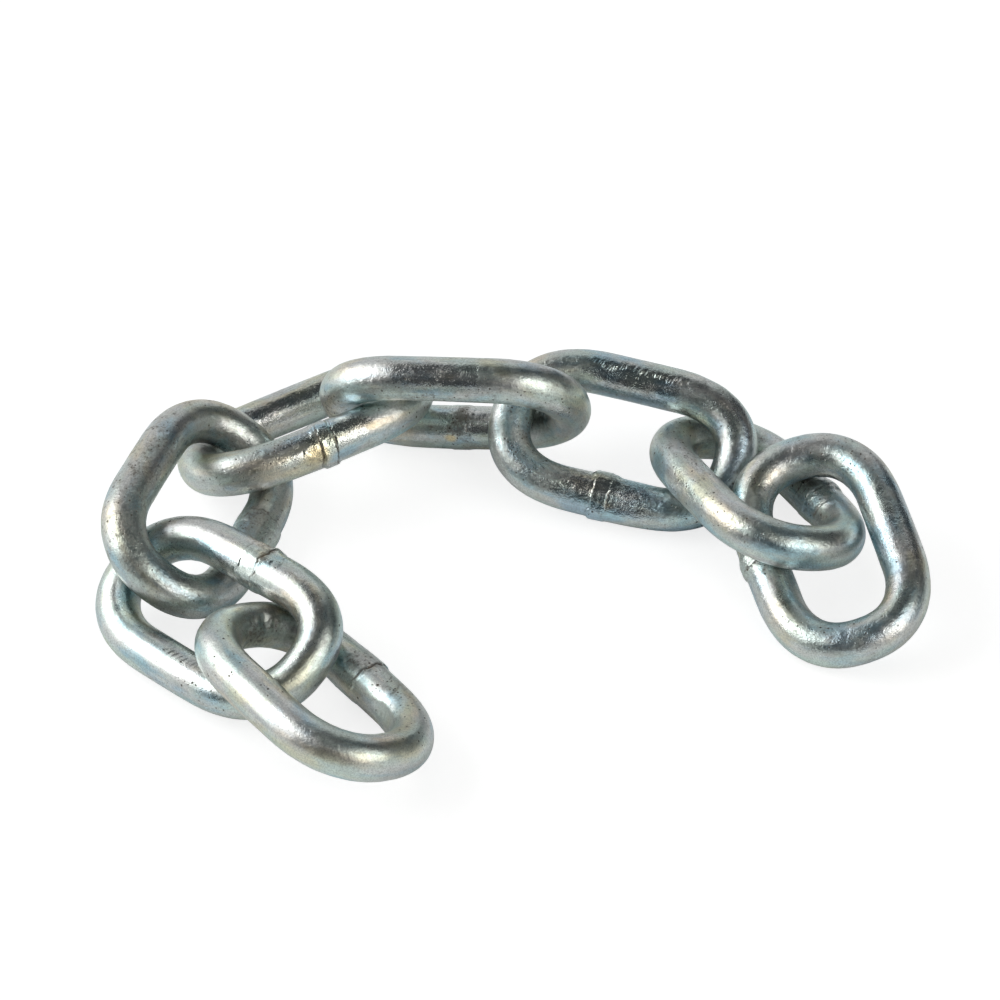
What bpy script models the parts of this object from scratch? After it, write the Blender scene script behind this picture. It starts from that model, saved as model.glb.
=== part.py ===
# Short length of welded steel chain, eight links, laid down in a loose arch
# on a level floor. Every link is one round wire bent into a long loop and
# butt-welded in the middle of one side bar. Metres, +Z up, floor at z = 0,
# origin at the middle of the footprint.
import math

import bpy
import numpy as np
from mathutils import Euler, Matrix, Vector

MM = 0.001

# ---- driving dimensions -------------------------------------------------
WIRE_D = 8.0            # mm, wire diameter
LINK_LENGTH = 49.57     # mm, outside length of a link
LINK_WIDTH = 30.62      # mm, outside width of a link
CROWN_DEPTH = 13.91     # mm, length over which each end is bent
CROWN_POWER = 2.325      # superellipse power of the bend (2 is a plain ellipse)
BASE_STATIONS = 42      # stations around the centre line
WELD_RISE = 0.065       # weld collar stands this share of the radius proud
WELD_HALF = 1.7         # mm, half width of the collar
SECTION_STEPS = 4       # bevel steps: twelve sides round the wire
ORIGIN_SHIFT = (-1.67, 25.99, 0.0)   # mm, puts the footprint's middle at 0, 0

# Each link: centre (mm), heading / pitch / roll (degrees) of its own frame
# (+X along the link, +Z square to its plane), how this one came off the
# bending machine (mm: length and width against nominal, skew of one side
# along the other, bow of the two bars, twist and camber of the loop; taper
# as a share of the width), and the weld: which bar, and how far from its middle.
LINKS = {
    "link_1": dict(at=(-31.93, -58.27, 9.01), turn=(127.13, 0.94, 23.34),
                   dl=-0.24, dw=0.21, taper=0.018, skew=-0.45, bow=(0.42, 0.44),
                   twist=-0.01, camber=0.09, weld=(-1, 3.7)),
    "link_2": dict(at=(-49.14, -39.22, 8.95), turn=(138.24, 2.02, -24.76),
                   dl=-0.05, dw=-0.27, taper=-0.009, skew=0.31, bow=(0.55, -0.30),
                   twist=0.09, camber=-0.51, weld=(-1, -1.7)),
    "link_3": dict(at=(-53.41, -12.93, 10.78), turn=(71.89, 1.81, -143.16),
                   dl=0.26, dw=-0.05, taper=-0.012, skew=0.22, bow=(-0.34, 0.53),
                   twist=0.01, camber=0.27, weld=(1, 3.6)),
    "link_4": dict(at=(-35.25, 10.37, 9.76), turn=(23.22, -7.48, 157.88),
                   dl=0.33, dw=-0.17, taper=-0.011, skew=-0.53, bow=(0.56, 0.38),
                   twist=0.19, camber=-0.17, weld=(1, 0.8)),
    "link_5": dict(at=(-7.89, 9.55, 15.27), turn=(-9.94, -5.03, 119.33),
                   dl=0.22, dw=0.40, taper=-0.024, skew=-0.10, bow=(0.29, 0.61),
                   twist=-0.03, camber=-0.15, weld=(-1, -0.8)),
    "link_6": dict(at=(22.46, 3.41, 11.00), turn=(-14.47, 6.21, 31.58),
                   dl=-0.23, dw=-0.22, taper=-0.014, skew=0.38, bow=(0.31, 0.12),
                   twist=0.41, camber=-0.02, weld=(-1, -1.4)),
    "link_7": dict(at=(46.03, -9.48, 9.37), turn=(114.40, 8.19, 19.98),
                   dl=0.11, dw=0.33, taper=-0.009, skew=-0.25, bow=(0.65, -0.24),
                   twist=-0.11, camber=-0.03, weld=(-1, -3.4)),
    "link_8": dict(at=(57.71, -25.32, 9.44), turn=(-76.84, 10.53, 16.36),
                   dl=-0.40, dw=-0.22, taper=-0.020, skew=0.33, bow=(0.24, 0.21),
                   twist=0.36, camber=0.51, weld=(-1, -3.0)),
}

# Where a link swings on its neighbour: child link, parent link, point on the
# swing axis (mm) and the axis itself.
SWINGS = [
    ("link_4", "link_5", (-27.8, 9.8, 19.4), (0.0, 0.0, 1.0)),
    ("link_3", "link_4", (-42.7, -4.2, 12.5), (0.0, 0.0, 1.0)),
    ("link_2", "link_3", (-49.5, -27.9, 5.0), (0.0, 0.0, 1.0)),
    ("link_1", "link_2", (-36.3, -40.0, 10.1), (-0.57, 0.22, 0.79)),
    ("link_6", "link_5", (12.5, 5.6, 17.9), (0.0, 0.0, 1.0)),
    ("link_7", "link_6", (34.4, 7.5, 7.8), (-0.71, -0.60, 0.36)),
    ("link_8", "link_7", (45.0, -19.0, 7.9), (0.18, -0.96, -0.23)),
]

# zinc-plated wire: colour, roughness of each link as it shows
FINISH = {
    "link_1": ((0.60, 0.62, 0.64, 1.0), 0.30),
    "link_2": ((0.61, 0.63, 0.64, 1.0), 0.28),
    "link_3": ((0.58, 0.60, 0.62, 1.0), 0.38),
    "link_4": ((0.61, 0.62, 0.64, 1.0), 0.30),
    "link_5": ((0.62, 0.63, 0.65, 1.0), 0.28),
    "link_6": ((0.60, 0.62, 0.64, 1.0), 0.30),
    "link_7": ((0.59, 0.61, 0.63, 1.0), 0.34),
    "link_8": ((0.60, 0.62, 0.65, 1.0), 0.30),
}


def loop_outline(length, width, count=1440):
    """Centre line of a plain link: two side bars and two bent ends, closed."""
    half_b = (width - WIRE_D) / 2
    half_l = (length - WIRE_D) / 2
    bar = half_l - CROWN_DEPTH
    t = np.linspace(-math.pi / 2, math.pi / 2, count // 2)
    x = bar + CROWN_DEPTH * np.abs(np.cos(t)) ** (2 / CROWN_POWER)
    y = half_b * np.sign(np.sin(t)) * np.abs(np.sin(t)) ** (2 / CROWN_POWER)
    right = np.stack([x, y], 1)
    ring = np.concatenate([right, -right, right[:1]])
    run = np.concatenate([[0.0], np.cumsum(np.linalg.norm(np.diff(ring, axis=0), axis=1))])
    return ring, run


def link_path(spec):
    """Stations round one link: (x, y, z, radius factor), in mm, link frame."""
    length = LINK_LENGTH + spec["dl"]
    width = LINK_WIDTH + spec["dw"]
    ring, run = loop_outline(length, width)
    total = run[-1]
    side, along = spec["weld"]
    half_b = (width - WIRE_D) / 2
    half_l = (length - WIRE_D) / 2
    # run length at the weld: nearest point of the centre line on that bar
    fine = np.linspace(0.0, total, 2881)
    off_x = np.interp(fine, run, ring[:, 0]) - along
    off_y = np.interp(fine, run, ring[:, 1]) - side * half_b
    weld_at = float(fine[np.argmin(np.hypot(off_x, off_y))])
    stations = [i * total / BASE_STATIONS for i in range(BASE_STATIONS)]

    def away(s):
        return (s - weld_at + total / 2) % total - total / 2

    stations = [s for s in stations if abs(away(s)) > 4.4]
    stations += [weld_at + o for o in (-3.4, -1.8, -0.8, 0.8, 1.8, 3.4)]
    stations = sorted(s % total for s in stations)
    path = []
    for s in stations:
        x = float(np.interp(s, run, ring[:, 0]))
        y = float(np.interp(s, run, ring[:, 1]))
        xs, ys = x / half_l, y / half_b
        mid = 1 - xs * xs
        bow_hi, bow_lo = spec["bow"]
        yy = y * (1 + spec["taper"] * xs)
        yy += bow_hi * mid * max(ys, 0.0) - bow_lo * mid * max(-ys, 0.0)
        xx = x + spec["skew"] * ys
        zz = spec["twist"] * xs * ys + spec["camber"] * (xs * xs - 0.5)
        swell = 1 + WELD_RISE * math.exp(-(away(s) / WELD_HALF) ** 2)
        path.append((xx, yy, zz, swell))
    return path


def steel(name):
    colour, rough = FINISH[name]
    mat = bpy.data.materials.new("zinc_" + name)
    mat.use_nodes = True
    bsdf = mat.node_tree.nodes["Principled BSDF"]
    bsdf.inputs["Base Color"].default_value = colour
    bsdf.inputs["Metallic"].default_value = 1.0
    bsdf.inputs["Roughness"].default_value = rough
    return mat


def make_link(name, spec, where):
    curve = bpy.data.curves.new(name, "CURVE")
    curve.dimensions = "3D"
    curve.twist_mode = "Z_UP"
    curve.bevel_depth = WIRE_D / 2 * MM
    curve.bevel_resolution = SECTION_STEPS
    curve.resolution_u = 1
    curve.render_resolution_u = 0
    path = link_path(spec)
    wire = curve.splines.new("POLY")
    wire.points.add(len(path) - 1)
    for point, (x, y, z, swell) in zip(wire.points, path):
        point.co = (x * MM, y * MM, z * MM, 1.0)
        point.radius = swell
    wire.use_cyclic_u = True
    wire.use_smooth = True
    obj = bpy.data.objects.new(name, curve)
    where.objects.link(obj)
    obj.data.materials.append(steel(name))
    heading, pitch, roll = (math.radians(a) for a in spec["turn"])
    obj.location = [(a + b) * MM for a, b in zip(spec["at"], ORIGIN_SHIFT)]
    obj.rotation_euler = Euler((roll, pitch, heading), "XYZ")
    return obj


def keep_place_under(child, parent):
    bpy.context.view_layer.update()
    child.parent = parent
    child.matrix_parent_inverse = parent.matrix_world.inverted()
    bpy.context.view_layer.update()


def main():
    for obj in list(bpy.data.objects):
        bpy.data.objects.remove(obj, do_unlink=True)

    chain = bpy.data.collections.new("steel_chain")
    bpy.context.scene.collection.children.link(chain)

    links = {name: make_link(name, spec, chain) for name, spec in LINKS.items()}

    # an empty on each swing axis, Z along the axis; the link hangs from it
    for child, parent, point, axis in SWINGS:
        pin = bpy.data.objects.new("swing_" + child, None)
        pin.empty_display_size = 0.006
        pin.empty_display_type = "SINGLE_ARROW"
        chain.objects.link(pin)
        spot = Vector([(a + b) * MM for a, b in zip(point, ORIGIN_SHIFT)])
        aim = Vector(axis).normalized().to_track_quat("Z", "Y")
        pin.matrix_world = Matrix.Translation(spot) @ aim.to_matrix().to_4x4()
        keep_place_under(pin, links[parent])
        keep_place_under(links[child], pin)


main()
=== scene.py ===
import math

import bpy
import numpy as np
from mathutils import Euler, Matrix, Vector


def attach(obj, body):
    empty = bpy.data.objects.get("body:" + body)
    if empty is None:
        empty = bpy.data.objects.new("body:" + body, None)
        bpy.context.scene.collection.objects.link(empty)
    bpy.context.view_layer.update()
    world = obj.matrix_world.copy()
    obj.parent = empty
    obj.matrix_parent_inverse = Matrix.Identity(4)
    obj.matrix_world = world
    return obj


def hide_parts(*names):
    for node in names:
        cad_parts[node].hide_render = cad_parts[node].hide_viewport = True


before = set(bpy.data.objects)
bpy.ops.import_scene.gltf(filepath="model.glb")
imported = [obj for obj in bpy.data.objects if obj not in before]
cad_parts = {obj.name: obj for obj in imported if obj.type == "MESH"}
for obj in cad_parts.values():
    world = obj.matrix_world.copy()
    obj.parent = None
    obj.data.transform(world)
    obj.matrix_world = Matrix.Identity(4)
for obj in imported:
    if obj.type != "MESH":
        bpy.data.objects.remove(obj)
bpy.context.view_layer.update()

MM = 0.001

# ---- the links, as the frame has them (mm, degrees) ------------------------
WIRE_D = 8.0
LINK_LENGTH = 49.57
LINK_WIDTH = 30.62
CROWN_DEPTH = 13.91
CROWN_POWER = 2.325
ORIGIN_SHIFT = (-1.67, 25.99, 0.0)
R = WIRE_D / 2

LINKS = {
    "link_1": dict(at=(-31.93, -58.27, 9.01), turn=(127.13, 0.94, 23.34),
                   dl=-0.24, dw=0.21, taper=0.018, skew=-0.45, bow=(0.42, 0.44),
                   twist=-0.01, camber=0.09, weld=(-1, 3.7)),
    "link_2": dict(at=(-49.14, -39.22, 8.95), turn=(138.24, 2.02, -24.76),
                   dl=-0.05, dw=-0.27, taper=-0.009, skew=0.31, bow=(0.55, -0.30),
                   twist=0.09, camber=-0.51, weld=(-1, -1.7)),
    "link_3": dict(at=(-53.41, -12.93, 10.78), turn=(71.89, 1.81, -143.16),
                   dl=0.26, dw=-0.05, taper=-0.012, skew=0.22, bow=(-0.34, 0.53),
                   twist=0.01, camber=0.27, weld=(1, 3.6)),
    "link_4": dict(at=(-35.25, 10.37, 9.76), turn=(23.22, -7.48, 157.88),
                   dl=0.33, dw=-0.17, taper=-0.011, skew=-0.53, bow=(0.56, 0.38),
                   twist=0.19, camber=-0.17, weld=(1, 0.8)),
    "link_5": dict(at=(-7.89, 9.55, 15.27), turn=(-9.94, -5.03, 119.33),
                   dl=0.22, dw=0.40, taper=-0.024, skew=-0.10, bow=(0.29, 0.61),
                   twist=-0.03, camber=-0.15, weld=(-1, -0.8)),
    "link_6": dict(at=(22.46, 3.41, 11.00), turn=(-14.47, 6.21, 31.58),
                   dl=-0.23, dw=-0.22, taper=-0.014, skew=0.38, bow=(0.31, 0.12),
                   twist=0.41, camber=-0.02, weld=(-1, -1.4)),
    "link_7": dict(at=(46.03, -9.48, 9.37), turn=(114.40, 8.19, 19.98),
                   dl=0.11, dw=0.33, taper=-0.009, skew=-0.25, bow=(0.65, -0.24),
                   twist=-0.11, camber=-0.03, weld=(-1, -3.4)),
    "link_8": dict(at=(57.71, -25.32, 9.44), turn=(-76.84, 10.53, 16.36),
                   dl=-0.40, dw=-0.22, taper=-0.020, skew=0.33, bow=(0.24, 0.21),
                   twist=0.36, camber=0.51, weld=(-1, -3.0)),
}

# ---- marks on each link ----------------------------------------------------
# Places are (arc distance from the weld in mm, angle round the wire in
# degrees: 0 outward in the link's plane, 90 along its +Z, 180 inward).
#   collars : metal raised (or pressed, where negative) by the weld and its
#             trimming: height mm, from, to, softness of either end mm, angle and
#             spread in degrees (None is all round), lean mm along for a mm round
#   steps   : grooves across the wire: place, depth mm, lean, angle, spread
#   pads    : oval flats left by the electrodes: s, angle, half length, depth mm
#   dents   : s, angle, radius mm, depth mm
#   ticks   : rows of tooth marks: s from, s to, count, angle, length mm, lean, depth
#   scuffs  : torn, rough skin: s from, s to, angle, half width mm, amount
#   crowds  : places with more dark pits: s, angle, half length, half width, amount
#   grimes  : dark hollows: s, angle, half length, half width, strength
#    painted_shades : painted shade darkening hollows: s, angle, half length, half width, strength
#   tints   : straw or blue heat colour: s, angle, half length, half width, amount (+ straw, - blue)
MARKS = {
    "link_1": dict(
        collars=[(0.15, -4.9, 1.6, 0.22, 1.2, None, 0, 0.0), (0.20, -4.9, -2.0, 0.25, 1.4, 60, 34, 0.0)],
        steps=[(-4.8, 0.16, 0.07, 112, 70), (-11.9, 0.10, -0.55, 96, 30)],
        pads=[(-16.0, 172, 5.2, 0.34), (17.4, 180, 2.6, 0.12)],
        dents=[(22.0, 138, 1.35, 0.45), (19.6, 150, 0.9, 0.24), (27.5, 152, 1.3, 0.10), (31.0, 20, 1.0, 0.05)],
        ticks=[(14.0, 19.0, 7, 168, 0.9, 0.2, 0.06)],
        scuffs=[(-4.6, -0.5, 125, 3.2, 0.8), (17.0, 27.0, 150, 3.0, 0.8)],
        crowds=[(-12.0, 92, 9.0, 5.0, 0.75), (-26.0, 74, 4.0, 3.0, 0.9), (34.0, 74, 2.2, 1.8, 1.0),
                (37.0, 93, 2.0, 1.4, 0.8), (44.0, 63, 3.0, 2.4, 0.8), (52.0, 80, 4.0, 2.0, 0.6)],
        blots=[(-2.0, 118, 2.6, 3.2, 0.55), (-5.0, 95, 1.6, 3.5, 0.5), (24.0, 178, 8.0, 3.0, 0.4), (-11.0, 85, 7.0, 3.0, 0.3)],
        painted_shades=[(24.5, 162, 4.4, 3.6, 1.0), (20.0, 140, 3.0, 2.6, 0.9), (14.0, 164, 1.8, 2.2, 0.7)],
        tints=[(-2.0, 125, 3.0, 3.0, -0.6), (30.0, 60, 12.0, 3.0, -0.3), (46.0, 20, 7.0, 2.5, 0.35), (36.0, 8, 6.0, 2.5, -0.6)]),
    "link_2": dict(
        collars=[(0.13, -1.0, 2.9, 0.18, 0.30, None, 0, 0.0), (0.34, -2.0, -0.2, 0.35, 0.25, 8, 30, 0.0),
                 (-0.18, -0.8, 2.7, 0.25, 0.12, 120, 22, 0.0)],
        steps=[(-1.0, 0.16, 0.10, 62, 46), (2.9, 0.06, -0.10, 70, 40), (-0.9, 0.10, 0.1, 140, 24)],
        pads=[(7.0, -85, 4.0, 0.16)],
        dents=[(-3.2, 76, 0.45, 0.08), (-5.0, 70, 0.5, 0.08), (-8.2, 61, 0.5, 0.08), (-10.8, 110, 0.5, 0.06)],
        ticks=[(-53.5, -37.0, 19, 112, 1.1, 0.5, 0.085)],
        scuffs=[(-1.6, 2.6, 60, 1.6, 0.4)],
        crowds=[(-6.0, 68, 3.2, 1.6, 1.0), (-14.0, 40, 5.0, 3.0, 0.5), (-44.0, 60, 8.0, 2.0, 0.5), (24.0, 90, 6.0, 2.5, 0.6)],
        blots=[(-0.9, 62, 1.0, 2.6, 0.8), (-4.4, 72, 2.4, 1.2, 0.35), (20.0, -150, 8.0, 3.0, 0.3), (0.8, 40, 1.6, 1.2, 0.6)],
        painted_shades=[],
        tints=[(-0.6, 68, 1.4, 1.8, 0.8), (-12.0, 120, 10.0, 3.0, 0.3), (-30.0, 30, 9.0, 3.0, 0.3), (30.0, 100, 8.0, 3.0, -0.5)]),
    "link_3": dict(
        collars=[(0.12, -1.4, 1.9, 0.25, 0.4, None, 0, 0.0), (0.25, -1.2, 1.4, 0.3, 0.4, -20, 34, 0.0)],
        steps=[(-1.4, 0.09, 0.1, -100, 60), (1.9, 0.07, -0.1, -120, 60)],
        pads=[(4.8, -112, 4.4, 0.20), (8.0, 88, 4.0, 0.14)],
        dents=[(40.0, 30, 1.4, 0.07), (47.0, 60, 0.8, 0.05)],
        ticks=[(-12.0, -5.0, 8, -100, 0.8, -0.2, 0.05)],
        scuffs=[(38.0, 60.0, -60, 5.0, 0.35), (-1.0, 4.0, -110, 3.0, 0.6)],
        crowds=[(50.0, -60, 16.0, 6.0, 0.7), (-30.0, 30, 10.0, 5.0, 0.6), (1.0, -110, 5.0, 3.0, 0.7)],
        blots=[(50.0, -70, 16.0, 4.0, 0.24), (-50.0, -60, 10.0, 4.0, 0.22), (1.0, -120, 3.0, 2.0, 0.6)],
        painted_shades=[],
        tints=[(52.0, -30, 14.0, 4.0, 0.25), (9.0, -130, 5.0, 2.0, -0.6), (46.0, -100, 8.0, 2.0, -0.5)]),
    "link_4": dict(
        collars=[(0.16, -0.75, 1.75, 0.12, 0.12, None, 0, 0.10), (0.36, -0.9, 1.9, 0.2, 0.2, 38, 32, 0.0),
                 (0.14, -0.75, 2.6, 0.12, 0.2, -66, 24, 0.2)],
        steps=[(-0.85, 0.12, 0.10, 0, 75), (1.85, 0.15, 0.10, -12, 75), (5.2, 0.05, 0.3, -24, 16)],
        pads=[(7.2, -36, 3.4, 0.10), (7.5, 84, 4.0, 0.16)],
        dents=[(12.0, -60, 0.6, 0.06), (3.6, -14, 0.8, 0.07)],
        ticks=[(8.0, 15.0, 7, 70, 0.8, 0.3, 0.05), (2.6, 4.4, 2, -14, 0.5, 0.2, 0.05)],
        scuffs=[(-0.6, 1.6, 0, 4.0, 0.35), (3.0, 14.0, -52, 2.6, 0.3)],
        crowds=[(8.0, -58, 7.0, 2.5, 0.9), (-8.0, -60, 5.0, 2.0, 0.5), (14.0, 10, 6.0, 3.0, 0.6), (-20.0, 30, 9.0, 3.0, 0.5)],
        blots=[(1.9, -20, 0.8, 3.4, 0.7), (8.0, -60, 5.0, 1.8, 0.4), (4.5, -10, 2.6, 2.0, 0.35)],
        painted_shades=[],
        tints=[(2.6, -4, 2.4, 2.4, 1.0), (-8.0, -18, 2.0, 1.4, 0.9), (6.5, 22, 8.0, 3.0, 0.6), (-4.0, 18, 3.0, 2.0, -0.7),
               (-20.0, 40, 10.0, 3.0, -0.5), (16.0, -10, 8.0, 3.0, 0.4)]),
    "link_5": dict(
        collars=[(0.10, -1.7, 1.6, 0.2, 0.25, None, 0, 0.0), (0.16, -1.8, 2.3, 0.2, 0.3, 178, 42, 0.15)],
        steps=[(-1.8, 0.07, 0.2, 170, 50), (1.6, 0.10, -0.2, 165, 50)],
        pads=[(-9.0, 100, 4.0, 0.12), (8.5, -90, 4.0, 0.12)],
        dents=[(-5.3, 158, 0.5, 0.06), (54.0, 25, 1.2, 0.06)],
        ticks=[(-3.6, -1.8, 4, 152, 1.0, 0.8, 0.07), (46.0, 52.0, 6, 60, 0.7, 0.3, 0.05)],
        scuffs=[(-1.8, 2.4, 180, 4.5, 1.0)],
        crowds=[(0.0, 176, 3.5, 5.0, 1.0), (-28.0, 60, 8.0, 4.0, 0.6), (44.0, 60, 8.0, 3.0, 0.6), (-52.0, 40, 8.0, 4.0, 0.5)],
        blots=[(0.2, 178, 1.9, 4.2, 0.8), (-5.3, 158, 0.5, 0.5, 0.9), (-28.0, 60, 6.0, 3.0, 0.3), (-50.0, 70, 8.0, 2.5, 0.3)],
        painted_shades=[(20.5, 168, 4.0, 3.4, 0.95), (38.5, 105, 3.0, 2.2, 0.9)],
        tints=[(-1.4, 130, 1.2, 0.8, 1.2), (-6.0, 128, 6.0, 1.8, 0.5), (-38.0, 100, 8.0, 3.0, -0.8), (30.0, 60, 8.0, 3.0, 0.3),
               (10.0, 120, 6.0, 2.0, 0.5), (0.0, -150, 8.0, 3.0, -0.4)]),
    "link_6": dict(
        collars=[(0.14, -0.95, 2.0, 0.10, 0.14, None, 0, 0.0), (0.44, -1.3, 3.2, 0.16, 0.45, 146, 30, 0.0),
                 (0.42, -1.1, 8.0, 0.13, 2.4, 14, 28, 0.0), (-0.12, 3.6, 11.7, 0.5, 0.14, 86, 30, 0.66)],
        steps=[(-1.15, 0.07, 0.05, 70, 50), (1.95, 0.13, 0.10, 62, 34)],
        pads=[(8.0, -92, 4.0, 0.14)],
        dents=[(44.0, 10, 1.6, 0.07)],
        ticks=[(-36.5, -43.0, 4, 77, 0.8, 0.5, 0.05), (-44.0, -61.5, 24, 82, 0.9, 0.15, 0.17)],
        scuffs=[(3.6, 12.0, 82, 3.4, 1.0), (-36.0, -22.0, 110, 4.0, 0.6), (-18.0, -2.0, 96, 3.0, 0.8)],
        crowds=[(-12.0, 100, 9.0, 4.0, 0.9), (-30.0, 110, 9.0, 4.0, 0.8), (44.0, 110, 10.0, 4.0, 0.6), (20.0, 60, 8.0, 4.0, 0.5)],
        blots=[(9.0, 90, 3.0, 2.4, 0.25), (-34.0, 110, 7.0, 2.5, 0.4), (-22.0, 150, 8.0, 2.5, 0.35)],
        painted_shades=[],
        tints=[(2.4, 52, 0.7, 0.8, 1.2), (8.0, 62, 1.6, 1.0, 0.8), (8.0, 90, 5.0, 3.0, -0.9), (20.0, 60, 8.0, 3.0, -0.5),
               (-10.0, 40, 9.0, 2.0, -0.7), (6.0, 30, 8.0, 1.6, -0.7)]),
    "link_7": dict(
        collars=[(0.11, -1.5, 1.2, 0.2, 0.3, None, 0, 0.0), (0.34, -2.7, 0.2, 0.35, 0.35, 72, 26, 0.0),
                 (-0.14, -10.5, -5.5, 0.6, 0.10, 178, 34, 0.10)],
        steps=[(1.6, 0.10, 0.1, 160, 30), (-1.7, 0.07, 0.1, 120, 50), (-5.6, 0.08, 0.1, 165, 34)],
        pads=[(7.6, -84, 4.0, 0.12)],
        dents=[(-8.0, 138, 1.4, 0.08)],
        ticks=[(-5.0, -3.0, 3, 150, 0.7, 0.3, 0.04)],
        scuffs=[(-5.4, -2.2, 152, 2.6, 1.0), (44.0, 60.0, 60, 3.0, 0.3)],
        crowds=[(50.0, 70, 10.0, 4.0, 0.9), (-46.0, 50, 9.0, 5.0, 0.8), (-1.0, 130, 4.0, 3.0, 0.6), (34.0, 60, 7.0, 4.0, 0.6)],
        blots=[(-5.6, 165, 0.5, 2.6, 0.6), (-8.5, 176, 2.6, 2.2, 0.3), (50.0, 60, 10.0, 3.0, 0.22), (0.2, 150, 1.6, 2.5, 0.4)],
        painted_shades=[],
        tints=[(-4.0, 152, 1.8, 2.2, -1.0), (-15.0, 40, 9.0, 3.0, -0.5), (-45.0, 40, 10.0, 3.0, 0.5), (48.0, 20, 6.0, 3.0, -0.4)]),
    "link_8": dict(
        collars=[(0.12, -1.0, 2.9, 0.25, 0.20, None, 0, 0.0), (0.34, 0.2, 3.4, 0.4, 0.25, 12, 34, 0.0)],
        steps=[(3.05, 0.10, 0.05, 46, 34), (-1.2, 0.06, 0.2, 60, 60)],
        pads=[(-9.0, 100, 3.4, 0.12), (6.5, -90, 4.0, 0.12)],
        dents=[(25.0, 86, 1.4, 0.04), (28.0, 80, 1.2, 0.04), (5.5, 81, 0.5, 0.07)],
        ticks=[(3.4, 7.0, 5, 50, 0.8, 0.4, 0.05)],
        scuffs=[(0.0, 3.0, 50, 2.4, 0.5), (21.0, 28.0, 87, 1.6, 0.25)],
        crowds=[(5.5, 81, 0.8, 0.8, 1.0), (25.0, 88, 5.0, 2.4, 0.9), (-36.0, 90, 9.0, 4.0, 0.7), (46.0, 60, 9.0, 4.0, 0.6)],
        blots=[(25.0, 88, 5.0, 2.0, 0.3), (-36.0, 90, 8.0, 2.6, 0.2), (3.0, 50, 0.6, 2.0, 0.5), (5.5, 81, 0.6, 0.6, 0.8)],
        painted_shades=[],
        tints=[(14.0, 60, 7.0, 3.0, 0.4), (-44.0, 60, 9.0, 3.0, -0.4), (1.5, 60, 2.0, 2.4, -0.5), (24.0, 30, 8.0, 3.0, -0.5)]),
}

# Where each link bears on its neighbours (s, angle): painted shade darkens the hollow there.
SHADE_AT_CONTACTS = {
    "link_1": [(35.1, -104)],
    "link_2": [(-42.8, 127), (29.0, 118)],
    "link_3": [(36.8, 128), (-28.6, 122)],
    "link_4": [(30.3, -135), (-30.3, 120)],
    "link_5": [(-12.7, -117), (14.9, -171)],
    "link_6": [(-27.8, -123), (16.0, 130), (26.2, 44)],
    "link_7": [(50.7, -113), (2.9, 121)],
    "link_8": [(-16.3, -25), (-25.0, -106)],
}


def loop_outline(length, width, count=2880):
    half_b = (width - WIRE_D) / 2
    half_l = (length - WIRE_D) / 2
    bar = half_l - CROWN_DEPTH
    t = np.linspace(-math.pi / 2, math.pi / 2, count // 2)
    x = bar + CROWN_DEPTH * np.abs(np.cos(t)) ** (2 / CROWN_POWER)
    y = half_b * np.sign(np.sin(t)) * np.abs(np.sin(t)) ** (2 / CROWN_POWER)
    right = np.stack([x, y], 1)
    ring = np.concatenate([right, -right, right[:1]])
    run = np.concatenate([[0.0], np.cumsum(np.linalg.norm(np.diff(ring, axis=0), axis=1))])
    return ring, run, bar


def centre_line(spec, arcs=None):
    """Points of the centre line at arc distances from the weld, link frame, mm."""
    length = LINK_LENGTH + spec["dl"]
    width = LINK_WIDTH + spec["dw"]
    ring, run, bar = loop_outline(length, width)
    total = run[-1]
    half_b = (width - WIRE_D) / 2
    half_l = (length - WIRE_D) / 2
    side, along = spec["weld"]
    fine = np.linspace(0.0, total, 2881)
    off_x = np.interp(fine, run, ring[:, 0]) - along
    off_y = np.interp(fine, run, ring[:, 1]) - side * half_b
    weld_at = float(fine[np.argmin(np.hypot(off_x, off_y))])
    if arcs is None:
        return total
    s = (arcs + weld_at) % total
    x = np.interp(s, run, ring[:, 0])
    y = np.interp(s, run, ring[:, 1])
    xs, ys = x / half_l, y / half_b
    mid = 1 - xs * xs
    bow_hi, bow_lo = spec["bow"]
    yy = y * (1 + spec["taper"] * xs)
    yy += bow_hi * mid * np.maximum(ys, 0.0) - bow_lo * mid * np.maximum(-ys, 0.0)
    xx = x + spec["skew"] * ys
    zz = spec["twist"] * xs * ys + spec["camber"] * (xs * xs - 0.5)
    # 0 on the straight bars, 1 round the crowns
    bend = np.clip((np.abs(x) - bar + 1.5) / 6.0, 0.0, 1.0)
    bend = bend * bend * (3 - 2 * bend)
    return np.stack([xx, yy, zz], 1), bend


def unevenness(rng, s, theta, total, wave, stretch, count):
    """Smooth closed noise over the wire's skin, about unit strength: wave is the
    feature length in mm across the wire, stretch how much longer it is along it."""
    out = np.zeros((len(s), len(theta)))
    for _ in range(count):
        angle = rng.uniform(0, 2 * math.pi)
        k = rng.uniform(0.6, 1.3) / wave
        m = round(k * math.sin(angle) * 2 * math.pi * R)
        n = round(k * math.cos(angle) / stretch * total)
        phase = rng.uniform(0, 2 * math.pi)
        out += np.cos(m * theta[None, :] + (2 * math.pi * n / total) * s[:, None] + phase)
    return out / math.sqrt(count / 2)


def wrap(angle):
    return (angle + math.pi) % (2 * math.pi) - math.pi


def spot(s, theta, total, s0, deg, half_s, half_w):
    """Soft spot, 1 at its middle: half_s along the wire and half_w round it, mm."""
    ds = (s - s0 + total / 2) % total - total / 2
    dw = wrap(theta - math.radians(deg)) * R
    return np.exp(-((ds / half_s) ** 2)[:, None] - ((dw / half_w) ** 2)[None, :])


def stations(total):
    """Arc distances from the weld: close together at the weld, even elsewhere."""
    near = np.arange(-7.0, 7.0, 0.1)
    far = np.linspace(7.0, total - 7.0, 624 - len(near), endpoint=False)
    return np.concatenate([near, far])


SIDES = 96


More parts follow.
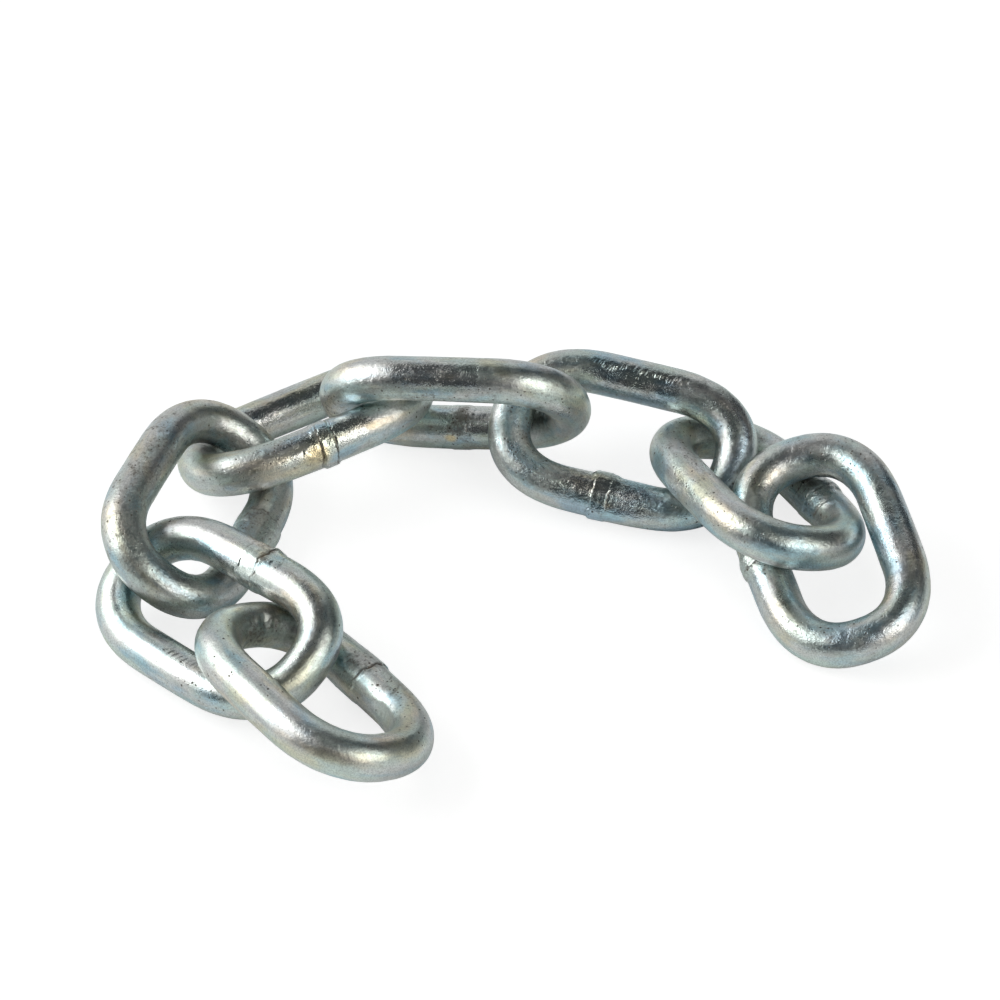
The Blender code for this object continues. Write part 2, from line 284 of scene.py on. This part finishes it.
def surface(name, spec, seed):
    """Skin of one link: points (mm, link frame), and what the finish needs there."""
    rng = np.random.default_rng(seed)
    total = centre_line(spec)
    s = stations(total)
    theta = np.linspace(0, 2 * math.pi, SIDES, endpoint=False)
    mid, bend = centre_line(spec, s)
    step = 0.05
    ahead, _ = centre_line(spec, s + step)
    behind, _ = centre_line(spec, s - step)
    tangent = ahead - behind
    tangent /= np.linalg.norm(tangent, axis=1)[:, None]
    side = np.cross(tangent, np.array([0.0, 0.0, 1.0]))
    side /= np.linalg.norm(side, axis=1)[:, None]
    up = np.cross(side, tangent)
    signed = (s + total / 2) % total - total / 2
    marks = MARKS[name]
    grid_s, grid_t = signed[:, None], theta[None, :]

    lift = 0.030 * unevenness(rng, s, theta, total, 11.0, 1.8, 24)
    lift += 0.006 * unevenness(rng, s, theta, total, 4.0, 2.2, 40)
    lift += 0.0014 * unevenness(rng, s, theta, total, 1.3, 1.8, 70) * (0.5 + bend[:, None])
    # the former squeezes the wire a little at the crowns: flatter inside, fuller
    # across, and the skin there is rippled
    lift += bend[:, None] * (-0.07 * np.cos(2 * grid_t) - 0.03)
    lift += bend[:, None] * 0.007 * unevenness(rng, s, theta, total, 2.6, 0.9, 50)

    # upset butt weld: collar, its trimmed lumps and the grooves beside it
    def along(place):
        return (signed - place + total / 2) % total - total / 2

    def window(deg, spread):
        if deg is None:
            return np.ones((1, SIDES))
        off = np.degrees(wrap(theta - math.radians(deg)))
        return np.exp(-np.abs(off / spread) ** 3)[None, :]

    def round_mm(deg):
        return np.zeros((1, SIDES)) if deg is None else (wrap(theta - math.radians(deg)) * R)[None, :]

    ragged = unevenness(rng, np.zeros(1), theta, total, 2.0, 1.0, 30)
    ragged = 0.6 * ragged + 0.4 * unevenness(rng, np.zeros(1), theta, total, 0.8, 1.0, 30)
    lift += 0.05 * np.exp(-(grid_s / 4.5) ** 2)
    for height, low, high, soft_low, soft_high, deg, spread, lean in marks["collars"]:
        slid = along(0.5 * (low + high))[:, None] - lean * round_mm(deg) + 0.16 * ragged
        half = 0.5 * (high - low)
        rise = 1 / (1 + np.exp(-np.clip((slid + half) / soft_low * 1.8, -30, 30)))
        fall = 1 / (1 + np.exp(-np.clip((half - slid) / soft_high * 1.8, -30, 30)))
        lift += height * rise * fall * window(deg, spread)
    weld = np.exp(-(grid_s / 3.2) ** 2) * np.ones_like(grid_t)
    seam = np.zeros((len(s), SIDES))
    for place, depth, lean, deg, spread in marks["steps"]:
        line = along(place)[:, None] - lean * round_mm(deg) + 0.20 * ragged
        thick = 0.15 if abs(place) < 6.5 else 0.22
        there = window(deg, spread) * (1 + 0.25 * ragged)
        dip = np.exp(-(line / thick) ** 2)
        lift -= depth * there * dip
        lift += 0.30 * depth * there * np.exp(-((line + 0.42) / 0.25) ** 2)
        seam = np.maximum(seam, np.clip(there * dip * depth / 0.12, 0, 1))
    lift += 0.014 * unevenness(rng, s, theta, total, 1.4, 1.0, 60) * np.exp(-(grid_s / 2.6) ** 2)

    dirt = np.zeros_like(lift)
    tint = np.zeros_like(lift)
    crowd = np.zeros_like(lift)
    scuff = np.zeros_like(lift)
    torn = unevenness(rng, s, theta, total, 1.1, 1.2, 70)
    for first, last, deg, half_w, amount in marks["scuffs"]:
        ds = along(0.5 * (first + last))[:, None] + 0.5 * torn
        half = 0.5 * (last - first)
        ends = 1 / (1 + np.exp(-np.clip((half - np.abs(ds)) / 0.35, -30, 30)))
        dw = wrap(theta - math.radians(deg)) * R
        scuff = np.maximum(scuff, amount * ends * np.exp(-np.abs(dw[None, :] / half_w + 0.25 * torn) ** 3))
    lift += 0.016 * scuff * torn
    for s0, deg, half_s, half_w, amount in marks["crowds"]:
        crowd = np.maximum(crowd, amount * spot(signed, theta, total, s0, deg, half_s, half_w))
    for s0, deg, reach, depth in marks["dents"]:
        reach *= 0.8
        near = np.sqrt((along(s0)[:, None]) ** 2 + (wrap(theta - math.radians(deg)) * R)[None, :] ** 2) / reach
        lift -= depth * np.exp(-near ** 2)
        lift += 0.16 * depth * np.exp(-((near - 1.75) / 0.42) ** 2)
    for first, last, count, deg, long_, lean, depth in marks["ticks"]:
        wide = 0.17 if max(abs(first), abs(last)) < 6.5 else 0.23
        for i in range(count):
            s0 = first + (last - first) * (i + rng.uniform(-0.3, 0.3)) / max(count - 1, 1)
            a0 = math.radians(deg + rng.uniform(-7, 7))
            dw = wrap(theta - a0) * R
            lean_i = lean + rng.uniform(-0.25, 0.25)
            u = along(s0)[:, None] - lean_i * dw[None, :]
            reach = long_ * rng.uniform(0.4, 0.8)
            cut = np.exp(-(u / wide) ** 2 - (dw[None, :] / reach) ** 2)
            d_i = depth * rng.uniform(0.5, 1.2)
            lift -= d_i * cut
            lift += 0.5 * d_i * np.exp(-((u - 2.1 * wide) / (1.15 * wide)) ** 2 - (dw[None, :] / (long_ * 0.6)) ** 2)
            dirt = np.maximum(dirt, 0.30 * cut)
    for s0, deg, half_s, half_w, amount in marks["blots"]:
        dirt = np.maximum(dirt, amount * spot(signed, theta, total, s0, deg, half_s, half_w))
    # painted shade: a mask of the hollows where the links bear on each other and of the listed dark hollows
    painted_shade = np.zeros_like(lift)
    for s0, deg in SHADE_AT_CONTACTS[name]:
        painted_shade = np.maximum(painted_shade, 0.85 * spot(signed, theta, total, s0, deg, 3.5, 3.3))
    for s0, deg, half_s, half_w, amount in marks["painted_shades"]:
        painted_shade = np.maximum(painted_shade, amount * spot(signed, theta, total, s0, deg, half_s, half_w))
    painted_shade = np.clip(painted_shade * (1 + 0.22 * torn), 0, 1)
    for s0, deg, half_s, half_w, amount in marks["tints"]:
        tint += amount * spot(signed, theta, total, s0, deg, half_s, half_w)

    # oval flats pressed by the electrodes: nothing stands above the flat's face
    radius = R + lift
    flat = np.zeros_like(lift)
    for s0, deg, half_s, depth in marks["pads"]:
        ds = along(s0)
        dw = wrap(theta - math.radians(deg))
        face = R - depth + 0.010 * unevenness(rng, s, theta, total, 1.6, 1.0, 40)
        plane = face / np.maximum(np.cos(dw), 0.2)[None, :] + (depth * 1.15 * (np.abs(ds) / half_s) ** 3)[:, None]
        plane = plane + 6.0 * (np.abs(dw) > 1.2)[None, :]
        soft = 0.012
        lower = -soft * np.log(np.exp(-np.clip(radius - R, -2, 2) / soft) + np.exp(-np.clip(plane - R, -2, 2) / soft))
        flat = np.maximum(flat, np.clip((radius - R - lower) / 0.02, 0, 1))
        radius = R + lower
    points = mid[:, None, :] + radius[:, :, None] * (
        side[:, None, :] * np.cos(theta)[None, :, None] + up[:, None, :] * np.sin(theta)[None, :, None])
    turn = 2 * math.pi * signed / total
    return dict(points=points, bend=np.repeat(bend[:, None], SIDES, 1), weld=weld, seam=seam, dirt=dirt,
                tint=tint, flat=flat, crowd=crowd, scuff=scuff, painted_shade=painted_shade, turn=turn, theta=theta)


def build_link(name, number):
    spec = LINKS[name]
    skin = surface(name, spec, 4100 + 17 * number)
    points = skin["points"]
    rows, cols = points.shape[:2]
    mesh = bpy.data.meshes.new("chain_" + name)
    i = np.arange(rows)[:, None]
    j = np.arange(cols)[None, :]
    a = i * cols + j
    b = ((i + 1) % rows) * cols + j
    c = ((i + 1) % rows) * cols + (j + 1) % cols
    d = i * cols + (j + 1) % cols
    quads = np.stack([a, d, c, b], -1).reshape(-1, 4)
    heading, pitch, roll = (math.radians(v) for v in spec["turn"])
    turn = np.array(Euler((roll, pitch, heading), "XYZ").to_matrix())
    placed = points @ turn.T + np.array(spec["at"]) + np.array(ORIGIN_SHIFT)
    mesh.vertices.add(rows * cols)
    mesh.vertices.foreach_set("co", (placed * MM).astype(np.float32).ravel())
    mesh.loops.add(quads.size)
    mesh.loops.foreach_set("vertex_index", quads.astype(np.int32).ravel())
    mesh.polygons.add(len(quads))
    mesh.polygons.foreach_set("loop_start", np.arange(0, quads.size, 4, dtype=np.int32))
    mesh.polygons.foreach_set("loop_total", np.full(len(quads), 4, np.int32))
    mesh.update(calc_edges=True)
    mesh.shade_smooth()
    for key in ("bend", "weld", "seam", "dirt", "tint", "flat", "crowd", "scuff", "painted_shade"):
        layer = mesh.attributes.new(key, "FLOAT", "POINT")
        layer.data.foreach_set("value", skin[key].astype(np.float32).ravel())
    # closed coordinates over the skin: two for the way along, two for the way round
    around = np.zeros((rows, cols, 3), np.float32)
    around[..., 0] = np.cos(skin["turn"])[:, None]
    around[..., 1] = np.sin(skin["turn"])[:, None]
    around[..., 2] = np.cos(skin["theta"])[None, :]
    layer = mesh.attributes.new("skin", "FLOAT_VECTOR", "POINT")
    layer.data.foreach_set("vector", around.ravel())
    layer = mesh.attributes.new("skin_w", "FLOAT", "POINT")
    layer.data.foreach_set("value", np.repeat(np.sin(skin["theta"])[None, :], rows, 0).astype(np.float32).ravel())
    if mesh.validate():
        raise RuntimeError("bad mesh on " + name)
    obj = bpy.data.objects.new("chain_" + name, mesh)
    bpy.context.scene.collection.objects.link(obj)
    return obj


# ---- finish ----------------------------------------------------------------
class Nodes:
    """Short hands for wiring a material's nodes."""

    def __init__(self, name):
        self.mat = bpy.data.materials.new(name)
        self.mat.use_nodes = True
        self.tree = self.mat.node_tree
        self.bsdf = self.tree.nodes["Principled BSDF"]

    def node(self, kind, **settings):
        n = self.tree.nodes.new(kind)
        for k, v in settings.items():
            setattr(n, k, v)
        return n

    def link(self, a, b):
        self.tree.links.new(a, b)

    def put(self, socket, value):
        if isinstance(value, bpy.types.NodeSocket):
            self.link(value, socket)
        else:
            socket.default_value = value

    def attr(self, name, out="Fac"):
        return self.node("ShaderNodeAttribute", attribute_name=name).outputs[out]

    def math(self, op, a, b=0.0, c=0.0, clamp=False):
        n = self.node("ShaderNodeMath", operation=op, use_clamp=clamp)
        for i, v in enumerate((a, b, c)):
            if i < len(n.inputs):
                self.put(n.inputs[i], v)
        return n.outputs[0]

    def ramp(self, value, low, high, to_low=0.0, to_high=1.0, smooth=True):
        n = self.node("ShaderNodeMapRange", interpolation_type="SMOOTHSTEP" if smooth else "LINEAR", clamp=True)
        self.put(n.inputs["Value"], value)
        n.inputs["From Min"].default_value = low
        n.inputs["From Max"].default_value = high
        n.inputs["To Min"].default_value = to_low
        n.inputs["To Max"].default_value = to_high
        return n.outputs["Result"]

    def mix(self, factor, a, b, blend="MIX"):
        n = self.node("ShaderNodeMix", data_type="RGBA", blend_type=blend)
        self.put(n.inputs[0], factor)
        for socket, v in ((n.inputs[6], a), (n.inputs[7], b)):
            self.put(socket, v if isinstance(v, bpy.types.NodeSocket) else (*v, 1.0))
        return n.outputs[2]

    def place(self, scale, seed):
        """Object space in units of the feature size, shifted so each link differs."""
        at = self.node("ShaderNodeVectorMath", operation="MULTIPLY_ADD")
        self.link(self.node("ShaderNodeTexCoord").outputs["Object"], at.inputs[0])
        at.inputs[1].default_value = (scale, scale, scale)
        at.inputs[2].default_value = (seed * 3.7, seed * 5.3, seed * 1.9)
        return at.outputs[0]

    def noise3(self, size_mm, detail=2.0, rough=0.5, seed=0.0):
        """Even noise in the link's own space, feature size in mm."""
        n = self.node("ShaderNodeTexNoise", noise_dimensions="3D")
        self.link(self.place(1.0 / (size_mm * MM), seed), n.inputs["Vector"])
        n.inputs["Scale"].default_value = 1.0
        n.inputs["Detail"].default_value = detail
        n.inputs["Roughness"].default_value = rough
        return n.outputs["Fac"]

    def streak(self, total, along_mm, across_mm, detail=2.0, rough=0.5, seed=0.0, colour=False):
        """Noise drawn out along the wire: feature length and width in mm."""
        grow = self.node("ShaderNodeVectorMath", operation="MULTIPLY_ADD")
        self.link(self.attr("skin", "Vector"), grow.inputs[0])
        k = total / (2 * math.pi) / along_mm
        w = R / across_mm
        grow.inputs[1].default_value = (k, k, w)
        grow.inputs[2].default_value = (seed * 7.3, seed * 3.1, seed * 5.7)
        n = self.node("ShaderNodeTexNoise", noise_dimensions="4D")
        self.link(grow.outputs[0], n.inputs["Vector"])
        self.link(self.math("MULTIPLY", self.attr("skin_w"), w), n.inputs["W"])
        n.inputs["Scale"].default_value = 1.0
        n.inputs["Detail"].default_value = detail
        n.inputs["Roughness"].default_value = rough
        if not colour:
            return n.outputs["Fac"]
        parts = self.node("ShaderNodeSeparateColor")
        self.link(n.outputs["Color"], parts.inputs[0])
        return parts.outputs[0], parts.outputs[1], parts.outputs[2]


# How each link's plate shows: roughness of the bars and of the bends, grain of the
# plate on the bars, brown film, specks, and how warm it is (0 cool, 1 warm).
FINISH = {
    "link_1": dict(bar=0.31, bend=0.33, grain=0.36, film=0.08, speck=1.0, warm=0.64),
    "link_2": dict(bar=0.27, bend=0.30, grain=0.36, film=0.05, speck=0.8, warm=0.47),
    "link_3": dict(bar=0.28, bend=0.30, grain=1.05, film=0.27, speck=0.9, warm=0.46),
    "link_4": dict(bar=0.19, bend=0.32, grain=1.15, film=0.14, speck=1.0, warm=0.62),
    "link_5": dict(bar=0.22, bend=0.31, grain=0.95, film=0.14, speck=1.0, warm=0.52),
    "link_6": dict(bar=0.19, bend=0.29, grain=1.25, film=0.12, speck=1.0, warm=0.34),
    "link_7": dict(bar=0.28, bend=0.31, grain=0.95, film=0.13, speck=1.0, warm=0.46),
    "link_8": dict(bar=0.25, bend=0.29, grain=0.95, film=0.13, speck=1.0, warm=0.41),
}


def specks(n, cell_mm, crowd, small, large, uneven, seed):
    """Mask of scattered ragged points: crowd is the share of cells that hold one."""
    cell = n.node("ShaderNodeTexVoronoi", voronoi_dimensions="3D", feature="F1", distance="EUCLIDEAN")
    n.link(n.place(1.0 / (cell_mm * MM), seed), cell.inputs["Vector"])
    cell.inputs["Scale"].default_value = 1.0
    cell.inputs["Randomness"].default_value = 1.0
    lot = n.node("ShaderNodeSeparateColor")
    n.link(cell.outputs["Color"], lot.inputs[0])
    chosen = n.math("LESS_THAN", lot.outputs[0], crowd)
    size = n.ramp(lot.outputs[1], 0.0, 1.0, small, large, smooth=False)
    reach = n.math("ADD", cell.outputs["Distance"], n.math("MULTIPLY_ADD", uneven, 0.52, -0.26))
    depth = n.math("SUBTRACT", 1.0, n.math("DIVIDE", reach, size), clamp=True)
    return n.math("MULTIPLY", n.math("MULTIPLY", depth, chosen), 2.0, clamp=True)


def zinc(name, number, total):
    """Bright zinc plate over drawn wire: cool, with straw and blue cast, dull and
    grainy round the bends, sharper on the bars, brown in the pits and at the weld,
    with painted shade laid dark over the hollows where the links bear."""
    n = Nodes("zinc_plate_" + name)
    look = FINISH[name]
    seed = 11.0 + 3.7 * number
    bend, seam = n.attr("bend"), n.attr("seam")
    dirt, tint, flat = n.attr("dirt"), n.attr("tint"), n.attr("flat")
    crowded, scuff, painted_shade = n.attr("crowd"), n.attr("scuff"), n.attr("painted_shade")

    broad, hue, dull = n.streak(total, 9.0, 4.0, 2.0, 0.55, seed, colour=True)
    patch = n.streak(total, 4.2, 1.7, 4.0, 0.66, seed + 1)
    lines = n.streak(total, 7.0, 0.36, 2.0, 0.5, seed + 2)
    fleck = n.noise3(0.80, 3.0, 0.72, seed + 3)
    grain = n.noise3(0.30, 2.0, 0.70, seed + 4)
    clump = n.noise3(2.4, 4.0, 0.72, seed + 5)

    # colour of the plate: blue to straw, in long soft patches
    cast = n.math("MULTIPLY_ADD", broad, 4.2, -2.1 + 1.1 * (look["warm"] - 0.5))
    cast = n.math("ADD", cast, n.math("MULTIPLY", tint, 0.75))
    cast = n.math("ADD", cast, n.math("MULTIPLY_ADD", patch, 1.4, -0.7))
    cool = n.mix(n.ramp(cast, -0.90, 0.0), (0.490, 0.650, 0.725), (0.700, 0.740, 0.710))
    base = n.mix(n.ramp(cast, 0.05, 0.95), cool, (0.780, 0.740, 0.600))
    sway = n.mix(n.ramp(hue, 0.36, 0.64), (0.955, 1.015, 0.985), (1.045, 0.985, 1.00))
    base = n.mix(1.0, base, sway, "MULTIPLY")
    straw = n.mix(n.ramp(tint, 0.45, 1.2, 0.0, 0.75), base, (0.92, 0.74, 0.42))
    shade = n.mix(n.ramp(grain, 0.34, 0.60), (0.77, 0.77, 0.77), (1.06, 1.06, 1.06))
    colour = n.mix(1.0, straw, shade, "MULTIPLY")
    draw = n.mix(n.ramp(lines, 0.35, 0.65), (0.85, 0.86, 0.88), (1.05, 1.04, 1.03))
    colour = n.mix(n.math("MULTIPLY_ADD", bend, -0.6, 1.0), colour, n.mix(1.0, colour, draw, "MULTIPLY"))

    # brown-grey film, soft, then broken into fine grit where it is thick
    film = n.math("MULTIPLY_ADD", clump, 1.5, -0.75 + look["film"])
    film = n.math("ADD", film, n.math("MULTIPLY_ADD", patch, 0.7, -0.35))
    film = n.math("ADD", film, n.math("MULTIPLY", dirt, 0.55))
    film = n.ramp(film, -0.15, 1.05)
    colour = n.mix(n.math("MULTIPLY", film, 0.54), colour, (0.43, 0.410, 0.365))
    grit = n.math("ADD", n.math("MULTIPLY_ADD", fleck, 2.4, -1.2), n.math("MULTIPLY_ADD", grain, 1.2, -0.6))
    grit = n.math("ADD", grit, n.math("MULTIPLY_ADD", film, 0.75, -0.30))
    grit = n.math("ADD", grit, n.math("MULTIPLY", dirt, 0.45))
    # painted shade of the hollows where links bear also adds to the grit
    grit = n.math("ADD", grit, n.math("MULTIPLY", painted_shade, 0.22))
    grit = n.ramp(grit, 0.10, 0.60)
    # painted shade: near-black grey laid over the hollows where the links bear
    colour = n.mix(n.math("MULTIPLY", painted_shade, 0.66), colour, (0.150, 0.150, 0.140))
    colour = n.mix(n.math("MULTIPLY", grit, 0.74), colour, (0.115, 0.103, 0.085))

    # specks and pits, in crowds
    crowd = n.math("ADD", n.math("MULTIPLY", n.ramp(clump, 0.56, 0.72), 0.15 * look["speck"]), 0.001)
    crowd = n.math("ADD", crowd, n.math("MULTIPLY", crowded, n.ramp(clump, 0.40, 0.62, 0.10, 0.75)))
    crowd = n.math("ADD", crowd, n.math("MULTIPLY", dirt, 0.25))
    fine = specks(n, 0.62, crowd, 0.18, 0.46, fleck, seed + 6)
    coarse = specks(n, 1.6, n.math("MULTIPLY", crowd, 0.6), 0.08, 0.20, fleck, seed + 7)
    pit = n.math("MAXIMUM", fine, coarse)
    colour = n.mix(n.math("MULTIPLY", pit, 0.86), colour, (0.080, 0.064, 0.048))
    colour = n.mix(n.math("MULTIPLY", seam, 0.75), colour, (0.12, 0.085, 0.060))
    colour = n.mix(n.math("MULTIPLY", flat, 0.45), colour, (0.50, 0.53, 0.49))
    n.link(colour, n.bsdf.inputs["Base Color"])

    # gloss
    gloss = n.math("MULTIPLY_ADD", bend, look["bend"] - look["bar"], look["bar"])
    gloss = n.math("ADD", gloss, n.math("MULTIPLY_ADD", patch, 0.26, -0.13))
    gloss = n.math("ADD", gloss, n.math("MULTIPLY_ADD", dull, 0.16, -0.08))
    gloss = n.math("ADD", gloss, n.math("MULTIPLY_ADD", fleck, 0.12, -0.06))
    gloss = n.math("ADD", gloss, n.math("MULTIPLY", flat, 0.14))
    gloss = n.math("ADD", gloss, n.math("MULTIPLY", film, 0.12))
    gloss = n.math("ADD", gloss, n.math("MULTIPLY", grit, 0.18))
    gloss = n.math("ADD", gloss, n.math("MULTIPLY", pit, 0.3), clamp=True)
    n.link(n.math("MAXIMUM", gloss, 0.10), n.bsdf.inputs["Roughness"])
    n.link(n.math("SUBTRACT", 1.0, n.math("MULTIPLY", grit, 0.35)), n.bsdf.inputs["Metallic"])

    # relief: grain of the plate, torn skin, draw lines, pits
    coarse_grain = n.math("MULTIPLY_ADD", n.ramp(clump, 0.35, 0.65), 0.9, 0.45)
    amount = n.math("MULTIPLY_ADD", bend, 0.5 * (1.0 - look["grain"]), look["grain"])
    amount = n.math("MULTIPLY", amount, coarse_grain)
    amount = n.math("ADD", amount, n.math("MULTIPLY", scuff, 1.3))
    height = n.math("MULTIPLY", n.math("MULTIPLY_ADD", fleck, 0.60, grain), amount)
    height = n.math("ADD", height, n.math("MULTIPLY", lines, n.math("MULTIPLY_ADD", bend, -0.12, 0.18)))
    height = n.math("SUBTRACT", height, n.math("MULTIPLY", grit, 0.30))
    height = n.math("SUBTRACT", height, n.math("MULTIPLY", pit, 0.8))
    bump = n.node("ShaderNodeBump")
    bump.inputs["Strength"].default_value = 1.0
    bump.inputs["Distance"].default_value = 0.052 * MM
    n.link(height, bump.inputs["Height"])
    n.link(bump.outputs["Normal"], n.bsdf.inputs["Normal"])
    n.bsdf.inputs["IOR"].default_value = 1.6
    return n.mat


def flat_sheet(name, half, height):
    mesh = bpy.data.meshes.new(name)
    mesh.from_pydata([(-half, -half, height), (half, -half, height), (half, half, height), (-half, half, height)],
                     [], [(0, 1, 2, 3)])
    obj = bpy.data.objects.new(name, mesh)
    bpy.context.scene.collection.objects.link(obj)
    return obj


def pale_table():
    """Large matt white table, lit from below as well, so shadows stay faint. The
    metal mirrors a greyer sheet laid on it, as in a studio that shades the table."""
    top = flat_sheet("table_top", 4.0, -0.0002)
    n = Nodes("table_white")
    n.bsdf.inputs["Base Color"].default_value = (0.38, 0.38, 0.38, 1.0)
    n.bsdf.inputs["Roughness"].default_value = 0.9
    n.bsdf.inputs["Specular IOR Level"].default_value = 0.1
    n.bsdf.inputs["Emission Color"].default_value = (1.0, 1.0, 1.0, 1.0)
    n.bsdf.inputs["Emission Strength"].default_value = 0.78
    top.data.materials.append(n.mat)
    top.visible_glossy = False

    shade = flat_sheet("table_shade", 4.0, -0.0001)
    n = Nodes("table_grey")
    n.bsdf.inputs["Base Color"].default_value = (0.89, 0.93, 0.94, 1.0)

    n.bsdf.inputs["Roughness"].default_value = 0.9
    n.bsdf.inputs["Specular IOR Level"].default_value = 0.1
    shade.data.materials.append(n.mat)
    shade.visible_camera = False
    shade.visible_diffuse = False
    shade.visible_shadow = False


def soft_panel(name, azimuth, elevation, distance, wide, high, colour, radiance, lean=0.0):
    """Flat soft light facing the chain. Azimuth 0 is +Y, 90 is +X."""
    light = bpy.data.lights.new(name, "AREA")
    light.shape = "RECTANGLE"
    light.size, light.size_y = wide, high
    light.energy = radiance * math.pi * wide * high
    light.color = colour
    obj = bpy.data.objects.new(name, light)
    bpy.context.scene.collection.objects.link(obj)
    a, e = math.radians(azimuth), math.radians(elevation)
    away = Vector((math.sin(a) * math.cos(e), math.cos(a) * math.cos(e), math.sin(e)))
    obj.location = away * distance
    turn = away.to_track_quat("Z", "Y").to_matrix() @ Matrix.Rotation(math.radians(lean), 3, "Z")
    obj.rotation_mode = "QUATERNION"
    obj.rotation_quaternion = turn.to_quaternion()
    obj.visible_camera = False
    return obj


def studio():
    """Two softboxes, each bright in the middle and fainter round it, a pale wall,
    and a light over the table that the metal doesn't mirror."""
    soft_panel("left_heart", -84, 34, 1.30, 0.86, 0.84, (0.98, 1.0, 1.0), 2.5, -8.0)
    soft_panel("left_glow", -82, 29, 1.32, 1.56, 1.45, (0.98, 1.0, 1.0), 1.15, -6.0)
    soft_panel("right_heart", 132, 33, 1.30, 0.88, 0.74, (1.0, 0.99, 0.95), 1.35)
    soft_panel("right_glow", 132, 31, 1.32, 1.28, 1.12, (1.0, 0.99, 0.95), 1.05)
    soft_panel("back_wall", -12, 27, 2.20, 3.60, 2.30, (0.97, 1.0, 1.01), 0.57)
    over = soft_panel("over_table", 0, 88, 1.50, 1.60, 1.60, (1.0, 1.0, 1.0), 0.45)
    over.visible_glossy = False
    world = bpy.data.worlds.new("room")
    world.use_nodes = True
    back = world.node_tree.nodes["Background"]
    back.inputs["Color"].default_value = (0.90, 0.98, 1.03, 1.0)
    back.inputs["Strength"].default_value = 0.06
    bpy.context.scene.world = world


def camera():
    """Same place as the photograph's: 0.66 m away, 41 degrees up, long lens."""
    e = math.radians(41.168)
    roll = math.radians(-0.970)
    away = 0.65669
    target = Vector((-0.00167, 0.02599, 0.0))
    forward = Vector((0.0, math.cos(e), -math.sin(e)))
    right0, up0 = Vector((1.0, 0.0, 0.0)), Vector((0.0, math.sin(e), math.cos(e)))
    right = right0 * math.cos(roll) + up0 * math.sin(roll)
    up = up0 * math.cos(roll) - right0 * math.sin(roll)
    data = bpy.data.cameras.new("camera")
    data.sensor_width = 36.0
    data.sensor_fit = "HORIZONTAL"
    data.lens = 129.32
    data.clip_start, data.clip_end = 0.05, 20.0
    obj = bpy.data.objects.new("camera", data)
    bpy.context.scene.collection.objects.link(obj)
    turn = Matrix((right, up, -forward)).transposed()
    obj.matrix_world = Matrix.Translation(target - forward * away) @ turn.to_4x4()
    bpy.context.scene.camera = obj


def main():
    for number, name in enumerate(sorted(LINKS), start=1):
        obj = build_link(name, number)
        obj.data.materials.append(zinc(name, number, centre_line(LINKS[name])))
        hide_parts(name)
        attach(obj, name)
    pale_table()
    studio()
    camera()
    view = bpy.context.scene.view_settings
    view.view_transform = "Standard"
    view.look = "None"
    view.exposure = 0.0
    view.gamma = 1.0


main()
